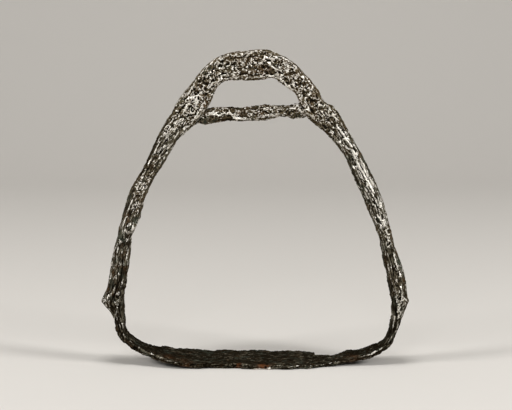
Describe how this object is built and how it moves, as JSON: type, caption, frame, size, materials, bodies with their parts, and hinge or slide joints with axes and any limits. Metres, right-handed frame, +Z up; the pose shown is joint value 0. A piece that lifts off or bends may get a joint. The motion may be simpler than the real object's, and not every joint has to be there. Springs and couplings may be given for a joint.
{
  "type": "stirrup",
  "caption": "Hand-forged iron stirrup: ridged arms scarfed together at the crown, a bar under the strap slot, out-turned spurs, and a thin tread whose turned-up ends lap inside the arms.",
  "frame": {"origin": "on the floor, under the middle of the whole part's box", "axes": "+Z up from the tread to the crown, +X along the tread to the viewer's right, -Y out of the front that the picture shows"},
  "size_m": [0.1477, 0.0324, 0.1502],
  "materials": {
    "forged_iron": "hammered wrought iron, pitted brown-black oxide with burnished bare specks",
    "tread_iron": "wrought plate, dark rust with streaked grain and patches of orange rust"
  },
  "bodies": {
    "root": {"left_arm": "forged_iron", "right_arm": "forged_iron", "cross_bar": "forged_iron", "tread": "tread_iron"}
  },
  "joints": []
}
